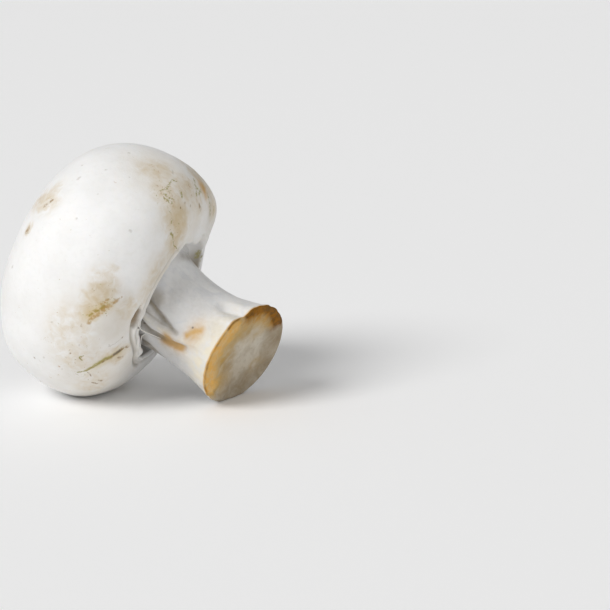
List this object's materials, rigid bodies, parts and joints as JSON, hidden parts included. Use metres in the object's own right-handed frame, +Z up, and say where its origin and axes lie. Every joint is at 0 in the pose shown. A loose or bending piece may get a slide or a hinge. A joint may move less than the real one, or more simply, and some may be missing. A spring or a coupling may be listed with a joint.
{
  "type": "button mushroom",
  "caption": "Closed-cup white button mushroom with a domed cap, a rolled and creased margin and a fluted stem, cut off flat and lying on its side.",
  "frame": {"origin": "on the surface it lies on, under the middle of its bounding box", "axes": "+Z up; +X in plan from the cap towards the cut end of the stem, which slopes down to the surface; +Y to the left of that"},
  "size_m": [0.0516, 0.0496, 0.0483],
  "materials": {
    "flesh": "matte"
  },
  "bodies": {
    "root": {"mushroom": "flesh"}
  },
  "joints": []
}
